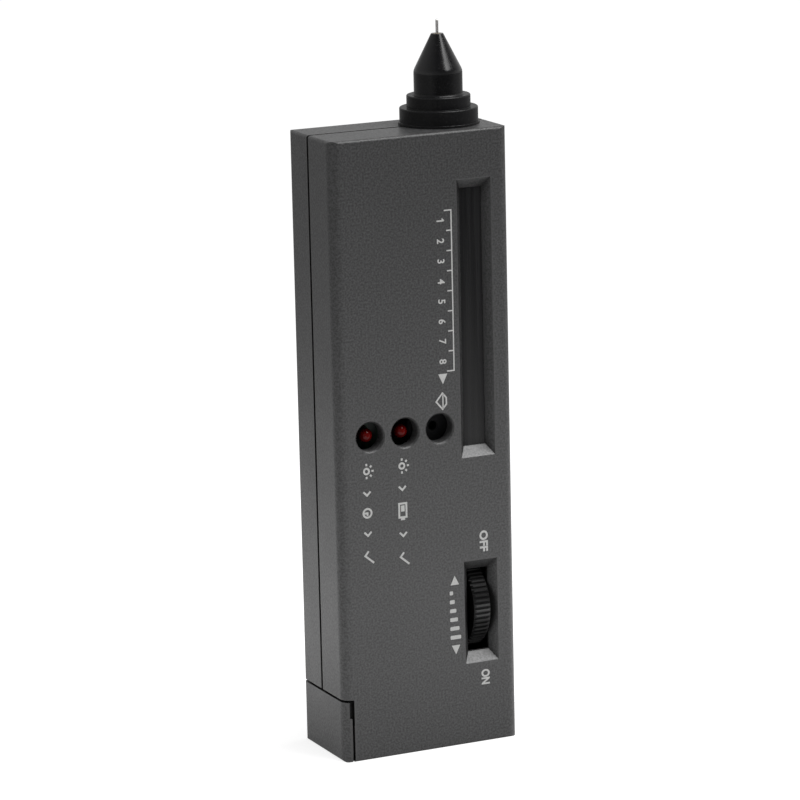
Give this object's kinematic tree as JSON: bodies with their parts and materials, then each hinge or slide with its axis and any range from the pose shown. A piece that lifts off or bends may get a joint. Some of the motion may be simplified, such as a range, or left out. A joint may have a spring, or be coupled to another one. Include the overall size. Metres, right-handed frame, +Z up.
{
  "type": "diamond tester",
  "caption": "Slim hand-held thermal diamond tester with a sprung needle probe on top, a bar display window, lamps, a thumbwheel switch and a sliding battery door.",
  "frame": {"origin": "on the standing surface under the middle of the case", "axes": "+Z up along the case to the probe, +X to the right seen from the front, the display faces -Y"},
  "size_m": [0.041, 0.0213, 0.155],
  "materials": {
    "case_paint": "fine matte grey paint on moulded plastic",
    "probe_black": "turned black plastic, satin gloss",
    "smoked_window": "smoked clear plastic",
    "bar_lamp": "tinted clear resin",
    "red_lamp": "red clear resin",
    "wheel_black": "moulded ribbed plastic",
    "component_black": "moulded",
    "board_green": "solder mask",
    "capacitor_sleeve": "shrunk sleeve",
    "resistor_body": "lacquer",
    "trimmer_blue": "moulded",
    "control_can": "moulded",
    "spindle_plastic": "moulded",
    "battery_can": "printed steel jacket",
    "lead_red": "soft insulation",
    "lead_black": "soft insulation",
    "lead_grey": "soft insulation",
    "screw_steel": "zinc plated",
    "spring_steel": "drawn wire",
    "guide_brass": "turned",
    "needle_copper": "plated copper",
    "heater_ceramic": "fired ceramic",
    "print_ink": "pale ink printed on the case"
  },
  "bodies": {
    "case": {"front_shell": "case_paint", "back_shell": "case_paint", "shell_screws": "screw_steel", "display_window": "smoked_window", "bar_leds": "bar_lamp", "ready_led": "red_lamp", "battery_led": "red_lamp", "buzzer": "component_black", "circuit_board": "board_green", "board_screws": "screw_steel", "bar_driver_chip": "component_black", "amplifier_chip": "component_black", "capacitors": "capacitor_sleeve", "resistors": "resistor_body", "calibration_trimmer": "trimmer_blue", "volume_pot": "control_can", "battery": "battery_can", "battery_snap": "component_black", "battery_lead_positive": "lead_red", "battery_lead_negative": "lead_black", "probe_collar": "probe_black", "probe_nose": "probe_black", "needle_bush": "guide_brass", "needle_spring": "spring_steel", "probe_terminal": "guide_brass", "probe_leads": "lead_grey"},
    "wheel": {"thumbwheel": "wheel_black", "pot_spindle": "spindle_plastic", "wheel_screw": "screw_steel"},
    "needle": {"probe_needle": "needle_copper", "probe_heater": "heater_ceramic"},
    "door": {"battery_door": "case_paint"}
  },
  "joints": [
    {"name": "wheel_turn", "type": "hinge", "parent": "case", "child": "wheel", "pos_m": [0.0124, -0.0013, 0.0291], "axis": [1, 0, 0], "range_deg": [0, 300]},
    {"name": "needle_press", "type": "slide", "parent": "case", "child": "needle", "axis": [0, 0, -1], "range_m": [0, 0.0015], "stiffness_N_per_m": 300, "springref_m": -0.002, "deforming": ["needle_spring"]},
    {"name": "door_slide", "type": "slide", "parent": "case", "child": "door", "axis": [-1, 0, 0], "range_m": [0, 0.032]}
  ]
}
